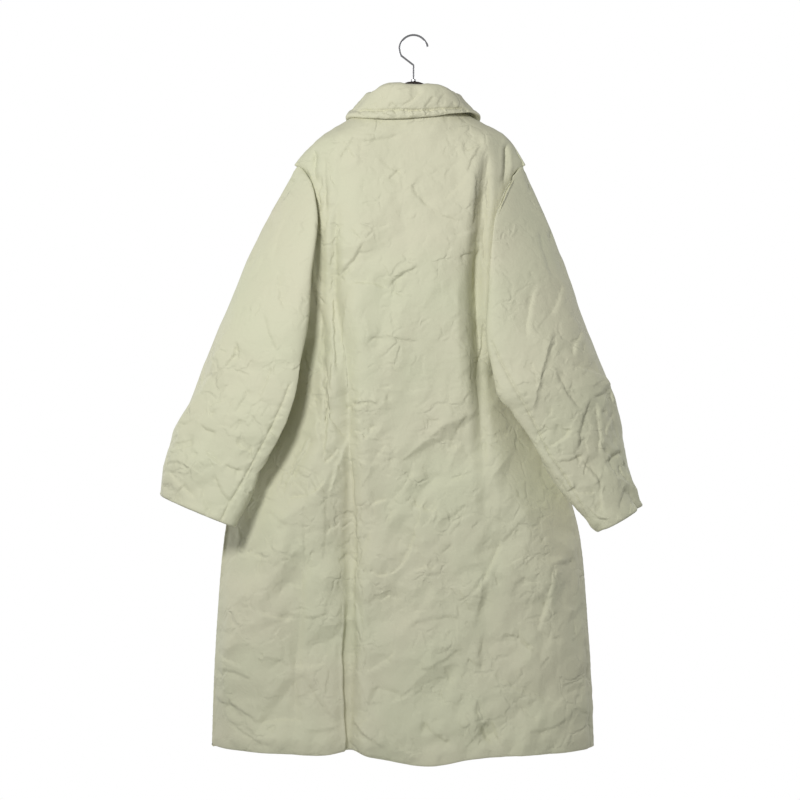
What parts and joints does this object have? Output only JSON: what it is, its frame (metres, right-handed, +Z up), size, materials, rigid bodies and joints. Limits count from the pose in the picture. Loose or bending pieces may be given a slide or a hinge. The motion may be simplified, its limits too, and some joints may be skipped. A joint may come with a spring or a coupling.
{
  "type": "padded long coat on a hanger",
  "caption": "Lightly padded long coat with a turned-down collar and wide sleeves, buttoned down the front, hanging on a flat hanger with a wire hook.",
  "frame": {"origin": "inside top of the wire hook, where a rail or peg carries the hanger", "axes": "+X towards the wearer's left, +Y towards the coat's back, +Z up; the coat hangs straight down"},
  "size_m": [0.81, 0.1818, 1.2285],
  "materials": {
    "cloth": "matte crinkled cloth with a faint sheen, pale sage",
    "button": "satin",
    "hanger": "glossy dark brown",
    "hook": "polished wire"
  },
  "bodies": {
    "root": {"back": "cloth", "front_left": "cloth", "front_right": "cloth", "sleeve_left": "cloth", "sleeve_right": "cloth", "collar": "cloth", "button_1": "button", "button_2": "button", "button_3": "button", "button_4": "button", "button_5": "button", "hanger": "hanger", "hook": "hook", "ferrule": "hook"}
  },
  "joints": []
}
